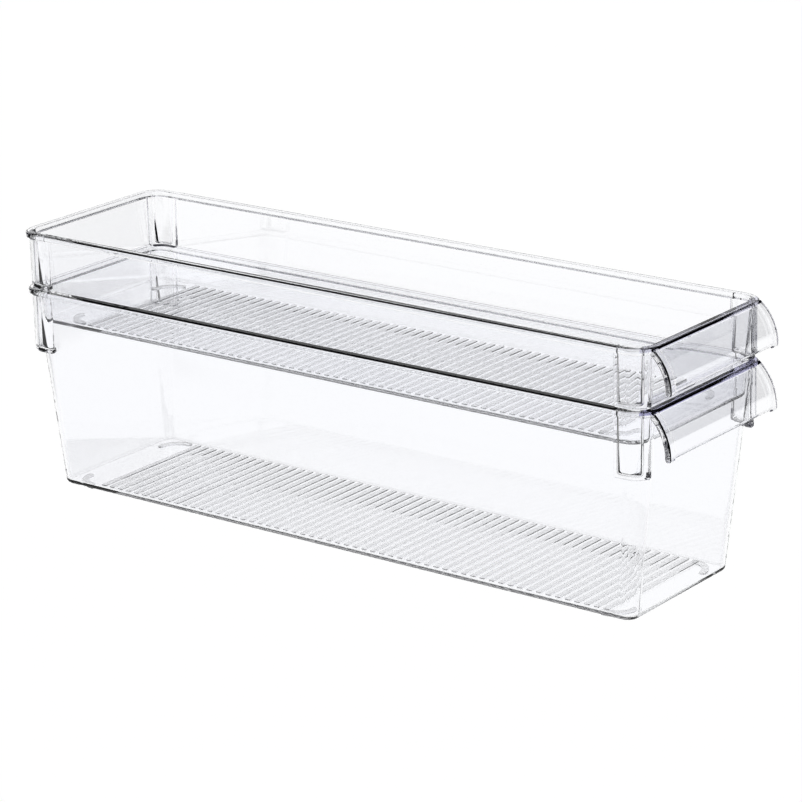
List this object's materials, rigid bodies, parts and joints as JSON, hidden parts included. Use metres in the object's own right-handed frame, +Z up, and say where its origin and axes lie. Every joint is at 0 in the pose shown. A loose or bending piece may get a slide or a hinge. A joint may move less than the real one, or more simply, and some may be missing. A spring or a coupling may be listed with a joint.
{
  "type": "fridge bin",
  "caption": "Long narrow clear bins, a shallow one nested in a deep one, with a curved pull lip at one end and a ribbed floor.",
  "frame": {"origin": "on the floor, under the middle of the overall box", "axes": "+X along the bins towards the pull lips, +Y across them, +Z up"},
  "size_m": [0.3646, 0.1, 0.1277],
  "materials": {
    "clear_plastic": "clear, polished, faintly cool injection-moulded plastic"
  },
  "bodies": {
    "deep_bin": {"deep_bin": "clear_plastic"},
    "shallow_bin": {"shallow_bin": "clear_plastic"}
  },
  "joints": [
    {"name": "lift_out", "type": "slide", "parent": "deep_bin", "child": "shallow_bin", "axis": [0, 0, 1], "range_m": [0, 0.1]}
  ]
}
